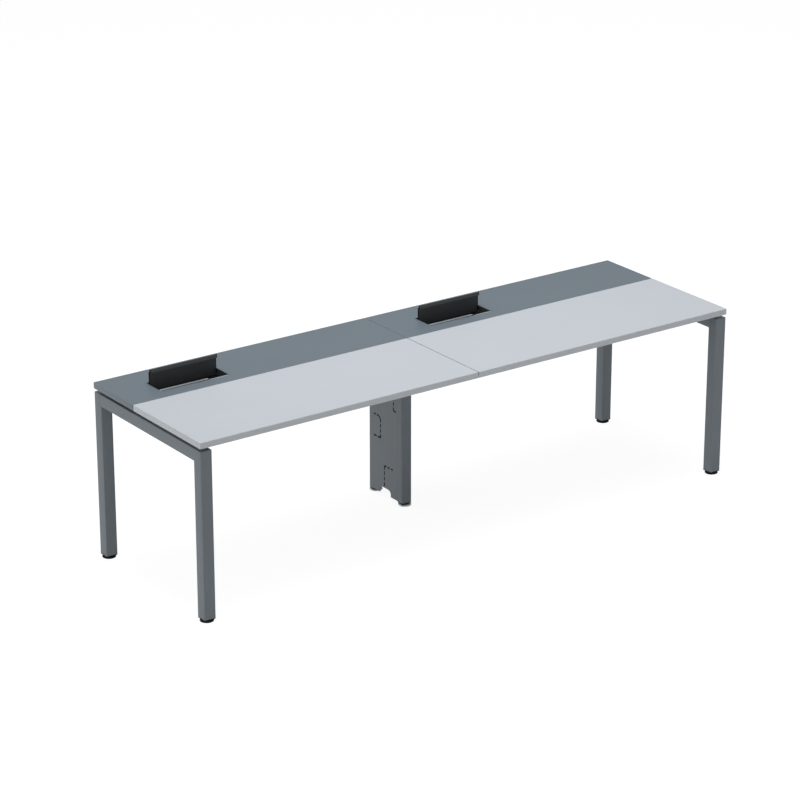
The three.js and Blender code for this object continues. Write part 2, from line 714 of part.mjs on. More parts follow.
function trayGeometry(start, end) {
  const front = TRAY_CENTRE_Y - TRAY_WIDTH / 2;
  const rear = TRAY_CENTRE_Y + TRAY_WIDTH / 2;
  const floor = SEAT_LEVEL - TRAY_DEPTH;
  const under = SEAT_LEVEL - TRAY_SHEET;
  const profile = polygon([
    [front - TRAY_FLANGE, under],
    [front, under],
    [front, floor],
    [rear, floor],
    [rear, under],
    [rear + TRAY_FLANGE, under],
    [rear + TRAY_FLANGE, SEAT_LEVEL],
    [rear - TRAY_SHEET, SEAT_LEVEL],
    [rear - TRAY_SHEET, floor + TRAY_SHEET],
    [front + TRAY_SHEET, floor + TRAY_SHEET],
    [front + TRAY_SHEET, SEAT_LEVEL],
    [front - TRAY_FLANGE, SEAT_LEVEL],
  ]);
  const count = Math.floor((end - start) / TRAY_SLOT_PITCH);
  const first = (start + end - (count - 1) * TRAY_SLOT_PITCH) / 2;
  const slots = [];
  for (let index = 0; index < count; index += 1) {
    for (const row of [-1, 1]) {
      const x = first + index * TRAY_SLOT_PITCH;
      const y = TRAY_CENTRE_Y + row * TRAY_SLOT_ROWS;
      const half = TRAY_SLOT_WIDTH / 2;
      const [x0, x1] = [x - TRAY_SLOT_LENGTH / 2, x + TRAY_SLOT_LENGTH / 2];
      slots.push(block(x0, x1, y - half, y + half, floor - TRAY_SHEET, floor + 2 * TRAY_SHEET));
    }
  }
  return cut(sweptAlong(profile, start, end - start), ...slots);
}

function addTray(side, sideName) {
  const inner = ARM_HALF + TRAY_ARM_GAP;
  const outer = FRAME_END - TUBE - TRAY_END_GAP;
  const [start, end] = side < 0 ? [-outer, -inner] : [inner, outer];
  add(desk, `cable_tray_${sideName}`, trayGeometry(start, end), FRAME_PAINT);
}

for (const [side, sideName] of [[-1, 'left'], [1, 'right']]) {
  addTops(side, sideName);
  addEndFrame(side, sideName);
  addBeams(side, sideName);
  addFlap(side, sideName);
  addTray(side, sideName);
}
addArm();
addRiser();

export default desk;
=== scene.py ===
import json
import math

import bmesh
import bpy
from mathutils import Matrix, Vector


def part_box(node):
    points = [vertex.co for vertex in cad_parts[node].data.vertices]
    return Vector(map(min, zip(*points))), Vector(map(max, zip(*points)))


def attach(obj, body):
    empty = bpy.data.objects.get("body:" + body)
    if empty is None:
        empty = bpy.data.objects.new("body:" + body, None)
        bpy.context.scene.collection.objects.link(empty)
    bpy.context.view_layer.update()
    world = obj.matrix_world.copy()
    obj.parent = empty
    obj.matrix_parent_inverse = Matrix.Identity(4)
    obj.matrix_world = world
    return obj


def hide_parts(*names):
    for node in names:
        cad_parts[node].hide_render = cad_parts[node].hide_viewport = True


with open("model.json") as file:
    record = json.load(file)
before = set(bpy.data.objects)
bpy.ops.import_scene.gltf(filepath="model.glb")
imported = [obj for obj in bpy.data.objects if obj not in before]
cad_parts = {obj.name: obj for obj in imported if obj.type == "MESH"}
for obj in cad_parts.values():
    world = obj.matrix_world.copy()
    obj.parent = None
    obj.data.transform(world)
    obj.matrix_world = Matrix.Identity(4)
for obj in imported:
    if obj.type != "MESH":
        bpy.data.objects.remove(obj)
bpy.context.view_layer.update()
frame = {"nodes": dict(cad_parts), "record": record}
nodes = frame["nodes"]
MM = 0.001
SIDES = ("left", "right")
DEPTHS = (("front", -1), ("rear", 1))

# Sizes in millimetres that the fittings share
TUBE_CORNER = 2.5
TUBE_WALL = 2
LEG_TOP_EASE = 1
WELD_LEG = 7
BAND = 2
BAND_CORNER = 3
BAND_EASE = 1.2
THREAD_RADIUS = 4
THREAD_DEPTH = 0.65
THREAD_PITCH = 1.25
COLLAR_FLATS = 13
BOLT_FLATS = 13
BOLT_HEAD = 5.3
WASHER_RADIUS = 7.2
WASHER = 1.6
SCREW_RADIUS = 4.2
SCREW_HEAD = 2.4
SOCKET_FLATS = 3
CLIP_WIDTH = 40
CLIP_LEG = 26
CLIP_SHEET = 2
CLIP_BEND = 3
CLIP_FROM_BEAM = 15.3
CLIP_SCREW_SHARE = 0.66
CLIP_SCREWS_APART = 20
STRIP = 1.5
STRIP_LAND = 6
STRIP_NOTCH = 87.7
DARK_LINE_FROM_FRONT = 0.9
DARK_LINE_WIDTH = 6.2
JOINT_DEPTH = 0.35
JOINT_DARK_LINE_HEIGHT = 9
SHADE_SHEET_THICKNESS = 0.6
SHADE_SHEET_GAP = 0.05
SPRING = 1
SPRING_HEIGHT = 24
SPRING_REACH = 6

# Colour and node helpers


def linear(code):
    """An sRGB hex colour as linear red, green, blue and alpha."""
    parts = [int(code[i:i + 2], 16) / 255 for i in (1, 3, 5)]
    return (*[p / 12.92 if p <= 0.04045 else ((p + 0.055) / 1.055) ** 2.4 for p in parts], 1.0)


def add_node(tree, kind, inputs=None, **settings):
    """Adds a node, sets its properties, and sets or links its inputs."""
    made = tree.nodes.new(kind)
    for name, value in settings.items():
        setattr(made, name, value)
    for name, value in (inputs or {}).items():
        if isinstance(value, bpy.types.NodeSocket):
            tree.links.new(value, made.inputs[name])
        else:
            made.inputs[name].default_value = value
    return made


def per_mm(size):
    """Noise scale for a grain of this size in millimetres, on coordinates in metres."""
    return 1 / (size * MM)


def finish(name, colours, rough, grain_mm, bump_mm, cloud_mm, stretch=(1, 1, 1), **sockets):
    """A surface with slow clouds between two colours, and a fine grain in its gloss and its height."""
    material = bpy.data.materials.new(name)
    material.use_nodes = True
    tree = material.node_tree
    shader = tree.nodes["Principled BSDF"]
    place = add_node(tree, "ShaderNodeTexCoord")
    scaled = add_node(tree, "ShaderNodeMapping", {"Vector": place.outputs["Object"], "Scale": stretch})
    cloud = add_node(tree, "ShaderNodeTexNoise", {
        "Vector": place.outputs["Object"], "Scale": per_mm(cloud_mm), "Detail": 4.0, "Roughness": 0.6})
    grain = add_node(tree, "ShaderNodeTexNoise", {
        "Vector": scaled.outputs["Vector"], "Scale": per_mm(grain_mm), "Detail": 3.0, "Roughness": 0.55})
    tint = add_node(tree, "ShaderNodeMix", {
        "Factor": cloud.outputs["Fac"], "A": linear(colours[0]), "B": linear(colours[1])}, data_type="RGBA")
    gloss = add_node(tree, "ShaderNodeMapRange", {
        "Value": grain.outputs["Fac"], "From Min": 0.3, "From Max": 0.7,
        "To Min": rough[0], "To Max": rough[1]})
    height = add_node(tree, "ShaderNodeBump", {
        "Height": grain.outputs["Fac"], "Distance": bump_mm * MM, "Strength": 1.0})
    tree.links.new(tint.outputs["Result"], shader.inputs["Base Color"])
    tree.links.new(gloss.outputs["Result"], shader.inputs["Roughness"])
    tree.links.new(height.outputs["Normal"], shader.inputs["Normal"])
    for socket, value in sockets.items():
        shader.inputs[socket].default_value = value
    return material


# Melamine paper pressed on a pearl plate: an even, faintly pebbled face with a broad soft sheen.
# The pearl is about 0.5 mm across and is drawn at 2.5 mm, so that it shows at all.
PALE_MELAMINE = finish(
    "pale_melamine_pressed_pearl", ("#bec4ca", "#c2c8ce"), (0.56, 0.66), 2.5, 0.03, 240, IOR=1.5)
GREY_MELAMINE = finish(
    "grey_melamine_pressed_pearl", ("#5c6871", "#606c75"), (0.56, 0.66), 2.5, 0.03, 240, IOR=1.5)
# ABS edge band, extruded and trimmed flush: faint lines along the board and a tighter sheen than its face.
PALE_BAND = finish(
    "pale_abs_band_extruded", ("#c0c5ca", "#c4c9ce"), (0.38, 0.46), 1.2, 0.02, 160,
    (0.04, 0.04, 1), IOR=1.53)
GREY_BAND = finish(
    "grey_abs_band_extruded", ("#67727a", "#6b767e"), (0.38, 0.46), 1.2, 0.02, 160,
    (0.04, 0.04, 1), IOR=1.53)
# Polyester powder baked on steel: a fine orange peel about 2 mm across, satin.
FRAME_PAINT = finish(
    "grey_powder_coat_on_steel", ("#6a7278", "#6e767c"), (0.42, 0.52), 2, 0.05, 120, IOR=1.5)
LID_PAINT = finish(
    "black_powder_coat_on_aluminium", ("#333638", "#383b3d"), (0.36, 0.46), 2, 0.05, 120, IOR=1.5)
# Polypropylene from a spark-eroded mould: near black, with a dull pebble that swallows much of the gloss.
# The pebble is under a millimetre and is drawn at 1.2 mm.
BLACK_PLASTIC = finish(
    "black_polypropylene_moulded", ("#0e0f10", "#141516"), (0.55, 0.7), 1.2, 0.04, 60,
    **{"IOR": 1.49, "Specular IOR Level": 0.2})
LINER_PLASTIC = finish(
    "black_grey_polypropylene_moulded", ("#2d3235", "#33383b"), (0.48, 0.6), 1.2, 0.04, 60, IOR=1.49)
# Deep black, with tufts of 0.8 mm in place of a gloss: painted shade inside the riser behind the cover's
# slots, and the near-black strips that draw the dark lines at the well's front and between the worktops.
DEEP_BLACK_TUFTED = finish(
    "deep_black_tufted", ("#0c0d0e", "#131415"), (0.9, 1.0), 0.8, 0.15, 15, **{"Specular IOR Level": 0.05})
# Anodised aluminium strip, etched matt and brushed lengthwise: fine streaks along the desk.
# The streaks are finer than 0.1 mm and are drawn 1 mm apart, so that they show.
ANODISED = finish(
    "anodised_aluminium_matt", ("#9aa0a5", "#a2a8ad"), (0.5, 0.62), 1, 0.01, 80, (0.02, 1, 1), Metallic=1.0)
# Zinc plate on turned steel: bright, with a cloudy passivation a few millimetres across.
ZINC = finish(
    "zinc_plated_steel", ("#a4a9ad", "#b9bdbf"), (0.28, 0.42), 1.5, 0.01, 9, Metallic=1.0)
DULL_ZINC = finish(
    "dulled_zinc_plated_steel", ("#b0b4b6", "#c0c4c6"), (0.45, 0.58), 1.5, 0.02, 12, Metallic=1.0)

FINISHES = {
    "pale_board": PALE_MELAMINE,
    "grey_board": GREY_MELAMINE,
    "pale_edging": PALE_BAND,
    "grey_edging": GREY_BAND,
    "frame_paint": FRAME_PAINT,
    "black_plastic": BLACK_PLASTIC,
    "flap_liner": LINER_PLASTIC,
    "flap_lid": LID_PAINT,
    "seat_strip": ANODISED,
    "zinc_screw": ZINC,
    "steel_pad": DULL_ZINC,
}

# Solids that stay as they are: their finish, eased edges and smooth rounds


def smooth_faces():
    """A modifier group that shades every face smooth."""
    group = bpy.data.node_groups.new("smooth_faces", "GeometryNodeTree")
    for way in ("INPUT", "OUTPUT"):
        group.interface.new_socket("Geometry", in_out=way, socket_type="NodeSocketGeometry")
    start = add_node(group, "NodeGroupInput")
    smooth = add_node(group, "GeometryNodeSetShadeSmooth", {"Geometry": start.outputs["Geometry"]})
    add_node(group, "NodeGroupOutput", {"Geometry": smooth.outputs["Geometry"]})
    return group


SMOOTH_FACES = smooth_faces()
EASES = {
    "pale_board": 0.15,
    "grey_board": 0.15,
    "frame_paint": 0.35,
    "black_plastic": 0.6,
    "flap_liner": 0.5,
    "flap_lid": 0.5,
}


def ease(node, width):
    """Joins the split facets of a solid, rounds its hard edges and evens out the shading."""
    weld = node.modifiers.new("joined_facets", "WELD")
    weld.merge_threshold = 1e-5
    flat = node.modifiers.new("plain_faces", "DECIMATE")
    flat.decimate_type = "DISSOLVE"
    flat.angle_limit = math.radians(0.5)
    bevel = node.modifiers.new("eased_edges", "BEVEL")
    bevel.width = width * MM
    bevel.segments = 2
    bevel.limit_method = "ANGLE"
    bevel.angle_limit = math.radians(50)
    bevel.miter_outer = "MITER_ARC"
    smooth = node.modifiers.new("smooth_faces", "NODES")
    smooth.node_group = SMOOTH_FACES
    even = node.modifiers.new("even_shading", "WEIGHTED_NORMAL")
    even.weight = 100
    even.keep_sharp = False


for entry in frame["record"]["subparts"]:
    node = nodes[entry["node"]]
    node.data.materials.clear()
    node.data.materials.append(FINISHES[entry["material_slot"]])
    if entry["material_slot"] in EASES and not entry["node"].endswith("_cover"):
        ease(node, EASES[entry["material_slot"]])

# Mesh building, in millimetres


def add_piece(name, mesh, slot, body="frame", stands_for=(), sharp=35, material=None):
    """Makes a millimetre mesh a piece of the desk that rides on a body, in its slot's finish or its own."""
    bmesh.ops.recalc_face_normals(mesh, faces=mesh.faces)
    mesh.transform(Matrix.Scale(MM, 4))
    data = bpy.data.meshes.new(name)
    mesh.to_mesh(data)
    mesh.free()
    data.shade_smooth()
    data.set_sharp_from_angle(angle=math.radians(sharp))
    data.materials.append(material or FINISHES[slot])
    piece = bpy.data.objects.new(name, data)
    bpy.context.scene.collection.objects.link(piece)
    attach(piece, body)
    if stands_for:
        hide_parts(*stands_for)
    return piece


def box_mm(node):
    """Lowest and highest corner of a solid in millimetres."""
    return [Vector(corner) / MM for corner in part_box(node)]


def rings(mesh, outlines, around=True, along=False, caps=True, place=None):
    """Skins a row of outlines that have the same number of points."""
    place = place or Matrix()
    rows = [[mesh.verts.new(place @ Vector(point)) for point in outline] for outline in outlines]
    pairs = list(zip(rows, rows[1:])) + ([(rows[-1], rows[0])] if along else [])
    count = len(rows[0])
    for low, high in pairs:
        for index in range(count if around else count - 1):
            after = (index + 1) % count
            mesh.faces.new((low[index], low[after], high[after], high[index]))
    if caps and not along:
        mesh.faces.new(rows[0][::-1])
        mesh.faces.new(rows[-1])


def rounded(x0, x1, y0, y1, corner, height, steps=6):
    """A rectangle with rounded corners, as points at one height."""
    spots = ((x1, y0, 3), (x1, y1, 0), (x0, y1, 1), (x0, y0, 2))
    points = []
    for x, y, quarter in spots:
        centre = (x - math.copysign(corner, x - (x0 + x1) / 2), y - math.copysign(corner, y - (y0 + y1) / 2))
        for step in range(steps + 1):
            turn = (quarter + step / steps) * math.pi / 2
            points.append((centre[0] + corner * math.cos(turn), centre[1] + corner * math.sin(turn), height))
    return points


def circle(radius, height, sides):
    """A circle round the Z axis, as points at one height."""
    turns = [2 * math.pi * side / sides for side in range(sides)]
    return [(radius * math.cos(turn), radius * math.sin(turn), height) for turn in turns]


def hexagon(flats, height, sides=24, limit=math.inf):
    """A hexagon as points at one height, cut back to a circle where a limit is given."""
    sixth = math.pi / 3
    points = []
    for side in range(sides):
        turn = 2 * math.pi * side / sides
        radius = min(flats / 2 / math.cos(turn % sixth - sixth / 2), limit)
        points.append((radius * math.cos(turn), radius * math.sin(turn), height))
    return points


def turned(mesh, profile, place, sides=32):
    """A closed profile of radius and height pairs turned round the Z axis of a place."""
    rings(mesh, [circle(radius, height, sides) for radius, height in profile], place=place)


def facing(spot, direction):
    """A place at a spot whose Z axis points in a direction."""
    return Matrix.Translation(spot) @ Vector(direction).to_track_quat("Z", "Y").to_matrix().to_4x4()


def add_bolt(mesh, spot, direction):
    """A hexagon bolt head on a plain washer."""
    place = facing(spot, direction)
    rim = 0.3
    turned(mesh, [
        (WASHER_RADIUS - rim, 0),
        (WASHER_RADIUS, rim),
        (WASHER_RADIUS, WASHER - rim),
        (WASHER_RADIUS - rim, WASHER),
    ], place)
    top = WASHER + BOLT_HEAD
    edge = BOLT_FLATS * 0.5
    rings(mesh, [
        hexagon(BOLT_FLATS, WASHER),
        hexagon(BOLT_FLATS, top - 1),
        hexagon(BOLT_FLATS, top - 0.4, limit=edge * 1.05),
        circle(edge * 0.94, top, 24),
    ], place=place)


def add_screw(mesh, spot, direction):
    """A button head screw with a hexagon socket."""
    place = facing(spot, direction)
    rows = [circle(SCREW_RADIUS * scale, SCREW_HEAD * level, 24)
            for scale, level in ((1, 0), (1, 0.15), (0.93, 0.5), (0.78, 0.8), (0.58, 0.97), (0.5, 1))]
    rows += [hexagon(SOCKET_FLATS, SCREW_HEAD), hexagon(SOCKET_FLATS * 0.98, SCREW_HEAD * 0.35)]
    rings(mesh, rows, place=place)


# End frames: two legs and a rail of square tube, welded and ground flush before painting


def skin(mesh, outer, inner):
    """An upright tube that is closed at the top: its outside from the bottom up, then its bore back down."""
    outside = [[mesh.verts.new(point) for point in outline] for outline in outer]
    inside = [[mesh.verts.new(point) for point in outline] for outline in inner]
    count = len(outside[0])
    pairs = [*zip(outside, outside[1:]), *zip(inside, inside[1:]), (inside[-1], outside[0])]
    for low, high in pairs:
        for index in range(count):
            after = (index + 1) % count
            mesh.faces.new((low[index], low[after], high[after], high[index]))
    mesh.faces.new(outside[-1])
    mesh.faces.new(inside[0])


def add_weld(mesh, x0, x1, y, z, way):
    """A hollow-ground weld in the corner under a rail, along the desk's X."""
    steps = 6
    profile = [(y - way, z + 1)]
    for step in range(steps + 1):
        turn = step / steps * math.pi / 2
        profile.append((y + way * WELD_LEG * (1 - math.sin(turn)), z - WELD_LEG * (1 - math.cos(turn))))
    ends = [x0 + TUBE_CORNER, x1 - TUBE_CORNER]
    rings(mesh, [[(x, u, v) for u, v in profile] for x in ends])


def add_end_frame(side_name):
    """Two legs with rounded tops and the rail between them, as one welded frame."""
    mesh = bmesh.new()
    legs = []
    rail = f"{side_name}_top_rail"
    rail_low, rail_high = box_mm(rail)
    for depth_name, depth in DEPTHS:
        name = f"{side_name}_{depth_name}_leg"
        low, high = box_mm(name)
        legs.append(name)
        levels = [(0, TUBE_CORNER, low.z), (0, TUBE_CORNER, high.z - LEG_TOP_EASE)]
        for step in range(1, 4):
            turn = step / 3 * math.pi / 2
            inset = LEG_TOP_EASE * (1 - math.cos(turn))
            levels.append((inset, TUBE_CORNER - inset, high.z - LEG_TOP_EASE * (1 - math.sin(turn))))
        bore = [(TUBE_WALL, TUBE_CORNER - TUBE_WALL, height) for height in (high.z - TUBE_WALL, low.z)]
        outer, inner = [[
            rounded(low.x + inset, high.x - inset, low.y + inset, high.y - inset, corner, height)
            for inset, corner, height in rows
        ] for rows in (levels, bore)]
        skin(mesh, outer, inner)
        inside = low.y if depth > 0 else high.y
        add_weld(mesh, low.x, high.x, inside, rail_low.z, -depth)
    front, rear = box_mm(legs[0])[1].y - TUBE_CORNER, box_mm(legs[1])[0].y + TUBE_CORNER
    along = Matrix(((1, 0, 0, 0), (0, 0, 1, 0), (0, 1, 0, 0), (0, 0, 0, 1)))
    rings(mesh, [
        rounded(rail_low.x, rail_high.x, rail_low.z, rail_high.z, TUBE_CORNER, y) for y in (front, rear)
    ], place=along)
    add_piece(f"{side_name}_end_frame", mesh, "frame_paint", stands_for=(*legs, rail))


for side_name in SIDES:
    add_end_frame(side_name)

# Edge bands with rounded outer edges


def add_band(name, slot):
    """A band round a board, with a quarter round along its lower and upper edge."""
    low, high = box_mm(name)
    profile = [(BAND, low.z)]
    for bottom in (True, False):
        for step in range(5):
            turn = step / 4 * math.pi / 2
            reach = 1 - math.sin(turn) if bottom else 1 - math.cos(turn)
            level = 1 - math.cos(turn) if bottom else 1 - math.sin(turn)
            height = low.z + BAND_EASE * level if bottom else high.z - BAND_EASE * level
            profile.append((BAND_EASE * reach, height))
    profile.append((BAND, high.z))
    mesh = bmesh.new()
    outlines = [
        rounded(low.x + inset, high.x - inset, low.y + inset, high.y - inset, BAND_CORNER - inset, height)
        for inset, height in profile
    ]
    rings(mesh, outlines, along=True)
    add_piece(f"{name}_eased", mesh, slot, stands_for=(name,), sharp=50)


for side_name in SIDES:
    add_band(f"worktop_{side_name}_edging", "pale_edging")
    add_band(f"rear_top_{side_name}_edging", "grey_edging")

# Levelling glides: a turned pad and a threaded screw with a hexagon collar


def add_glide(name, slot):
    """A pad that the floor carries, and the screw that sets its height."""
    pad = f"{name}_glide_pad"
    low, high = box_mm(pad)
    spot = Matrix.Translation(((low.x + high.x) / 2, (low.y + high.y) / 2, 0))
    wide = (high.x - low.x) / 2
    tall = high.z
    socket = THREAD_RADIUS + 0.3
    mesh = bmesh.new()
    turned(mesh, [
        (wide - 6, 0.6),
        (wide - 5.5, 0),
        (wide - 2, 0),
        (wide - 0.9, 0.4),
        (wide - 0.2, 1.1),
        (wide, 2.1),
        (wide - 0.1, 3.4),
        (wide - 0.6, 4.8),
        (wide - 1.6, 6),
        (wide - 3, 6.8),
        (wide - 4.2, 6.9),
        (wide - 4.6, 6.5),
        (wide - 5.2, 6.5),
        (wide - 5.6, 7),
        (wide * 0.5, tall - 0.3),
        (socket + 1.5, tall),
        (socket, tall - 0.4),
        (socket, tall - 4),
    ], spot, 48)
    add_piece(f"{pad}_turned", mesh, slot, pad, (pad,))

    screw = f"{name}_glide_screw"
    low, high = box_mm(screw)
    spot = Matrix.Translation(((low.x + high.x) / 2, (low.y + high.y) / 2, 0))
    mesh = bmesh.new()
    rise = THREAD_PITCH / 4
    core = THREAD_RADIUS - THREAD_DEPTH
    sides = 16
    rows = [circle(core - 0.6, low.z, sides)]
    level = low.z + 0.6
    while level < high.z - 0.6:
        row = []
        for x, y, z in circle(1, level, sides):
            phase = (z / THREAD_PITCH - math.atan2(y, x) / (2 * math.pi)) % 1
            radius = core + THREAD_DEPTH * abs(2 * phase - 1)
            row.append((x * radius, y * radius, z))
        rows.append(row)
        level += rise
    rows.append(circle(core - 0.6, high.z, sides))
    rings(mesh, rows, place=spot)
    collar_low, collar_high = tall + 0.3, tall + 2.4
    flats = COLLAR_FLATS
    rings(mesh, [
        hexagon(flats, collar_low, limit=flats / 2 * 1.04),
        hexagon(flats, collar_low + 0.5),
        hexagon(flats, collar_high - 0.5),
        hexagon(flats, collar_high, limit=flats / 2 * 1.04),
    ], place=spot)
    add_piece(f"{screw}_threaded", mesh, "zinc_screw", screw, (screw,))


for side_name in SIDES:
    for depth_name, _ in DEPTHS:
        add_glide(f"{side_name}_{depth_name}_leg", "black_plastic")
for depth_name, _ in DEPTHS:
    add_glide(f"riser_{depth_name}", "steel_pad")

# Fasteners and clips under the tops

BEAMS = ("front", "seam", "rear")
CLIPS_AT = (0.16, 0.5, 0.84)
PLATE = 4
PLATE_BOLT_Y = 22.4
PLATE_BOLT_DROP = 22


def add_beam_bolts(side_name):
    """Two bolts through each end plate of the three beams on this side."""
    mesh = bmesh.new()
    top = box_mm(f"{side_name}_top_rail")[1].z
    for line in BEAMS:
        low, high = box_mm(f"{line}_beam_{side_name}")
        middle = (low.y + high.y) / 2
        for face, way in ((low.x + PLATE, 1), (high.x - PLATE, -1)):
            for across in (-PLATE_BOLT_Y, PLATE_BOLT_Y):
                add_bolt(mesh, (face, middle + across, top - PLATE_BOLT_DROP), (way, 0, 0))
    add_piece(f"beam_bolts_{side_name}", mesh, "zinc_screw")


def add_clips(side_name):
    """Bent clips that hold the boards to the beams, with their screws."""
    clips = bmesh.new()
    screws = bmesh.new()
    for line in BEAMS:
        low, high = box_mm(f"{line}_beam_{side_name}")
        face = (low.y + high.y) / 2 - CLIP_FROM_BEAM
        seat = high.z
        for share in CLIPS_AT:
            x = low.x + (high.x - low.x) * share
            angle = [(face, seat - CLIP_LEG), (face - CLIP_SHEET, seat - CLIP_LEG)]
            for step in range(5):
                turn = step / 4 * math.pi / 2
                angle.append((
                    face - CLIP_SHEET - CLIP_BEND * (1 - math.cos(turn)),
                    seat - CLIP_SHEET - CLIP_BEND * (1 - math.sin(turn)),
                ))
            end = face - CLIP_LEG
            angle += [(end, seat - CLIP_SHEET), (end, seat), (face - 1, seat), (face, seat - 1)]
            half = CLIP_WIDTH / 2
            rings(clips, [[(x + across, u, v) for u, v in angle] for across in (-half, half)])
            reach = CLIP_LEG * CLIP_SCREW_SHARE
            add_screw(screws, (x, face - CLIP_SHEET, seat - reach), (0, -1, 0))
            for across in (-CLIP_SCREWS_APART / 2, CLIP_SCREWS_APART / 2):
                add_screw(screws, (x + across, face - reach, seat - CLIP_SHEET), (0, 0, -1))
    add_piece(f"top_clips_{side_name}", clips, "frame_paint")
    add_piece(f"top_clip_screws_{side_name}", screws, "zinc_screw")


def add_tray_screws(side_name):
    """Screws through the two flanges of the cable tray, up into the boards."""
    mesh = bmesh.new()
    low, high = box_mm(f"cable_tray_{side_name}")
    flange, sheet, count = 15, 1.5, 5
    for y in (low.y + flange / 2, high.y - flange / 2):
        for index in range(count):
            x = low.x + (high.x - low.x) * (index + 0.5) / count
            add_screw(mesh, (x, y, high.z - sheet), (0, 0, -1))
    add_piece(f"tray_screws_{side_name}", mesh, "zinc_screw")


def add_liner_screws(side_name):
    """Screws through the flanges of the flap's liner."""
    mesh = bmesh.new()
    low, high = box_mm(f"flap_liner_{side_name}")
    flange, sheet = 12, 2.5
    seat = box_mm(f"cable_tray_{side_name}")[1].z
    for share in (0.18, 0.82):
        for y in (low.y + flange / 2, high.y - flange / 2):
            add_screw(mesh, (low.x + (high.x - low.x) * share, y, seat - sheet), (0, 0, -1))
    add_piece(f"flap_liner_screws_{side_name}", mesh, "zinc_screw")


def add_strip(side_name):
    """A bent angle along the front of the well, its shelf cut short for cables, with a near-black strip on
    it that draws the dark line along the well's front.
    """
    name = f"flap_seat_strip_{side_name}"
    low, high = box_mm(name)
    land, notch, under = low.y + STRIP_LAND, high.x - STRIP_NOTCH, high.z - STRIP
    mesh = bmesh.new()
    rings(mesh, [[
        (low.x + inset, low.y + inset, height),
        (high.x - inset, low.y + inset, height),
        (high.x - inset, land - inset, height),
        (notch - inset, land - inset, height),
        (notch - inset, high.y - inset, height),
        (low.x + inset, high.y - inset, height),
    ] for inset, height in (
        (0.3, under), (0, under + 0.3), (0, high.z - 0.5), (0.15, high.z - 0.15), (0.5, high.z))])
    rings(mesh, [
        rounded(low.x, high.x, low.y, low.y + STRIP, 0.3, height) for height in (low.z, under + 0.4)
    ])
    add_piece(f"{name}_bent", mesh, "seat_strip", stands_for=(name,))
    # A thin near-black strip along the front of the shelf, for the dark line there
    dark_line = bmesh.new()
    front = low.y + DARK_LINE_FROM_FRONT
    rings(dark_line, [
        rounded(low.x + 1 + inset, notch - 1 - inset, front + inset, front + DARK_LINE_WIDTH - inset, 0.8, height)
        for inset, height in (
            (0, high.z - 0.1), (0, high.z + 0.15), (0.2, high.z + 0.3), (0.6, high.z + 0.4))
    ])
    add_piece(f"flap_front_dark_line_{side_name}", dark_line, "black_plastic", material=DEEP_BLACK_TUFTED)


for side_name in SIDES:
    add_beam_bolts(side_name)
    add_clips(side_name)
    add_tray_screws(side_name)
    add_liner_screws(side_name)
    add_strip(side_name)

# A near-black strip in the joint between the worktops, and the riser: bolts through its head plate, a
# near-black sheet behind each cover that paints shade into the riser's inside, and springs that grip the
# posts

HEAD_BOLTS_FROM_ENDS = 62
HEAD_BOLTS_APART = 24
SHADE_SHEET_FROM_SIDES = 3.9
SHADE_SHEET_FROM_BOTTOM = 32
SHADE_SHEET_FROM_TOP = 4
LOW_SPRING = 150
HIGH_SPRING = 90


def add_joint_dark_line():
    """A near-black strip that draws the dark line in the joint between the two worktops, a little below
    their faces.
    """
    low, high = box_mm("worktop_left_edging")
    left, right = high.x, box_mm("worktop_right_edging")[0].x
    top = high.z - JOINT_DEPTH
    mesh = bmesh.new()
    rings(mesh, [
        rounded(left + inset, right - inset, low.y + BAND, high.y - BAND, 0.4, height)
        for inset, height in (
            (0.2, top - JOINT_DARK_LINE_HEIGHT), (0, top - JOINT_DARK_LINE_HEIGHT + 0.3), (0, top - 0.2), (0.2, top))
    ])
    add_piece("worktop_joint_dark_line", mesh, "black_plastic", material=DEEP_BLACK_TUFTED)


def add_head_bolts():
    """Four bolts up through the riser's head plate into the arm."""
    mesh = bmesh.new()
    low, high = box_mm("riser_head_plate")
    for y in (low.y + HEAD_BOLTS_FROM_ENDS, high.y - HEAD_BOLTS_FROM_ENDS):
        for x in (-HEAD_BOLTS_APART / 2, HEAD_BOLTS_APART / 2):
            add_bolt(mesh, (x, y, low.z), (0, 0, -1))
    add_piece("riser_head_bolts", mesh, "zinc_screw")


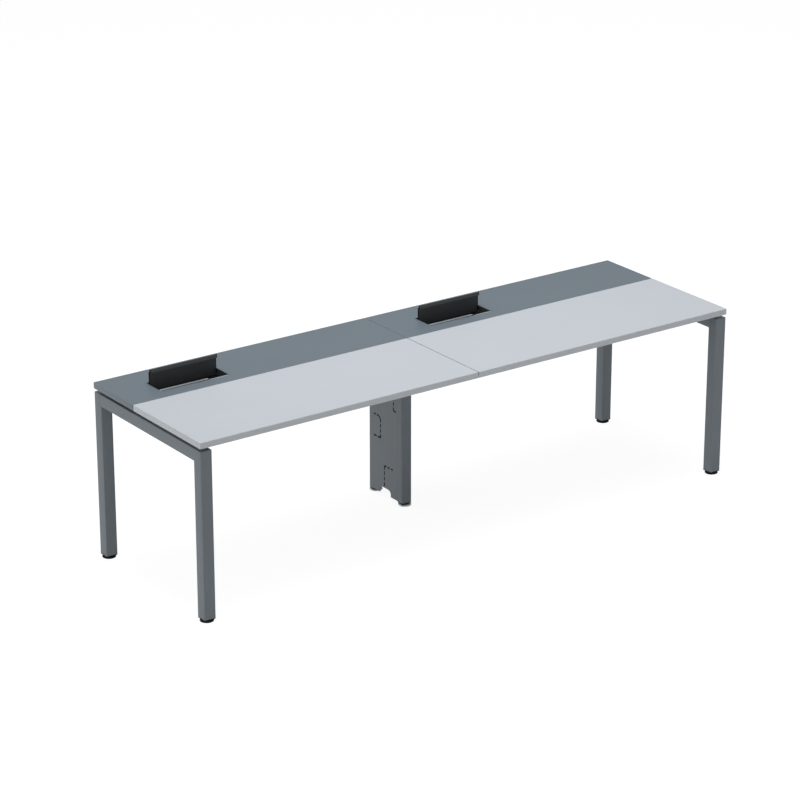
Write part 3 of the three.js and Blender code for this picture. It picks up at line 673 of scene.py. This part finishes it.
def add_cover_back(side_name):
    """A near-black sheet of painted shade that darkens the riser's inside behind the cover's slots, and the
    four springs on the inner face of a riser cover.
    """
    side = -1 if side_name == "left" else 1
    low, high = box_mm(f"riser_{side_name}_cover")
    inside = high.x if side < 0 else low.x
    upright = Matrix(((0, 0, 1, 0), (1, 0, 0, 0), (0, 1, 0, 0), (0, 0, 0, 1)))
    # Painted shade: a near-black sheet just behind the cover, so that its slots show the riser's inside as
    # dark
    shade_sheet = bmesh.new()
    edge = 0.15
    levels = ((SHADE_SHEET_GAP, 0), (SHADE_SHEET_GAP + SHADE_SHEET_THICKNESS - edge, 0), (SHADE_SHEET_GAP + SHADE_SHEET_THICKNESS, edge))
    front, rear = low.y + SHADE_SHEET_FROM_SIDES, high.y - SHADE_SHEET_FROM_SIDES
    bottom, top = low.z + SHADE_SHEET_FROM_BOTTOM, high.z - SHADE_SHEET_FROM_TOP
    rings(shade_sheet, [
        rounded(front + inset, rear - inset, bottom + inset, top - inset, 3 - inset, inside - side * level)
        for level, inset in levels
    ], place=upright)
    cover = f"{side_name}_riser_cover"
    add_piece(f"riser_{side_name}_cover_shade_sheet", shade_sheet, "black_plastic", cover, material=DEEP_BLACK_TUFTED)

    springs = bmesh.new()
    back = inside - side * (SHADE_SHEET_GAP + SHADE_SHEET_THICKNESS)
    for y, way in ((front + 0.1, 1), (rear - 0.1, -1)):
        for z in (low.z + LOW_SPRING, high.z - HIGH_SPRING):
            leaf = [(0, 0), (SPRING_REACH * 0.4, 0.1), (SPRING_REACH * 0.7, 0.9), (SPRING_REACH, 0.4)]
            outline = [(back - side * u, y + way * v) for u, v in leaf]
            outline += [(back - side * u, y + way * (v + SPRING)) for u, v in leaf[::-1]]
            rings(springs, [[(u, v, z + end) for u, v in outline] for end in (0, SPRING_HEIGHT)])
    add_piece(f"riser_{side_name}_cover_springs", springs, "zinc_screw", cover)


add_joint_dark_line()
add_head_bolts()
for side_name in SIDES:
    add_cover_back(side_name)

# Stage: white floor and sky for the eye, soft light from overhead and from the left

FLOOR_HALF = 30.0
FLOOR_WHITE = 0.92
FLOOR_SHADE = 0.2
SKY_LOW = 0.167
SKY_LEFT = 1.017


def seen_straight(tree):
    """One for rays that the eye sees directly, in a gloss or through glass, and nought for light itself."""
    path = add_node(tree, "ShaderNodeLightPath")
    first = add_node(tree, "ShaderNodeMath", {
        0: path.outputs["Is Camera Ray"], 1: path.outputs["Is Glossy Ray"]}, operation="MAXIMUM")
    both = add_node(tree, "ShaderNodeMath", {
        0: first.outputs["Value"], 1: path.outputs["Is Transmission Ray"]}, operation="MAXIMUM")
    return both.outputs["Value"]


def add_floor():
    """A white floor that keeps the desk's shadow."""
    mesh = bmesh.new()
    corners = [(-1, -1), (1, -1), (1, 1), (-1, 1)]
    mesh.faces.new([mesh.verts.new((x * FLOOR_HALF, y * FLOOR_HALF, 0)) for x, y in corners])
    data = bpy.data.meshes.new("floor")
    mesh.to_mesh(data)
    mesh.free()
    floor = bpy.data.objects.new("floor", data)
    bpy.context.scene.collection.objects.link(floor)
    material = bpy.data.materials.new("white_paper_floor")
    material.use_nodes = True
    tree = material.node_tree
    paper = tree.nodes["Principled BSDF"]
    paper.inputs["Base Color"].default_value = linear("#f0f0f0")
    paper.inputs["Roughness"].default_value = 0.9
    paper.inputs["Specular IOR Level"].default_value = 0.0
    glow = add_node(tree, "ShaderNodeEmission", {"Strength": FLOOR_WHITE / (1 - FLOOR_SHADE)})
    shaded = add_node(tree, "ShaderNodeMixShader", {
        "Fac": FLOOR_SHADE, 1: glow.outputs["Emission"], 2: paper.outputs["BSDF"]})
    shown = add_node(tree, "ShaderNodeMixShader", {
        "Fac": seen_straight(tree), 1: paper.outputs["BSDF"], 2: shaded.outputs["Shader"]})
    tree.links.new(shown.outputs["Shader"], tree.nodes["Material Output"].inputs["Surface"])
    data.materials.append(material)


def add_sky():
    """Soft light that grows towards the left, behind a sky that the eye sees as white."""
    world = bpy.data.worlds.new("studio")
    bpy.context.scene.world = world
    world.use_nodes = True
    tree = world.node_tree
    place = add_node(tree, "ShaderNodeTexCoord")
    way = add_node(tree, "ShaderNodeSeparateXYZ", {"Vector": place.outputs["Generated"]})
    fade = add_node(tree, "ShaderNodeMapRange", {
        "Value": way.outputs["X"], "From Min": 0.0, "From Max": -1.0, "To Min": SKY_LOW, "To Max": SKY_LEFT})
    light = tree.nodes["Background"]
    light.inputs["Color"].default_value = (1, 1, 1, 1)
    tree.links.new(fade.outputs["Result"], light.inputs["Strength"])
    white = add_node(tree, "ShaderNodeBackground", {"Color": (1, 1, 1, 1), "Strength": 1.0})
    shown = add_node(tree, "ShaderNodeMixShader", {
        "Fac": seen_straight(tree), 1: light.outputs["Background"], 2: white.outputs["Background"]})
    tree.links.new(shown.outputs["Shader"], tree.nodes["World Output"].inputs["Surface"])


def add_lamp(name, place, size, power):
    """A round soft lamp that shines straight down."""
    data = bpy.data.lights.new(name, "AREA")
    data.shape = "DISK"
    data.size = size
    data.energy = power
    lamp = bpy.data.objects.new(name, data)
    lamp.location = place
    bpy.context.scene.collection.objects.link(lamp)


add_floor()
add_sky()
add_lamp("overhead", (0, 0, 6), 5, 225)

# Camera at the photograph's angle

PITCH = 21.1304
YAW = 35.5255
camera_data = bpy.data.cameras.new("camera")
camera_data.sensor_width = 36
camera_data.lens = 135.959
camera_data.clip_end = 100
camera = bpy.data.objects.new("camera", camera_data)
camera.location = (-6.7635, -9.3299, 4.9559)
camera.rotation_euler = (math.radians(90 - PITCH), 0, math.radians(-YAW))
bpy.context.scene.collection.objects.link(camera)
bpy.context.scene.camera = camera
bpy.context.scene.view_settings.view_transform = "Standard"
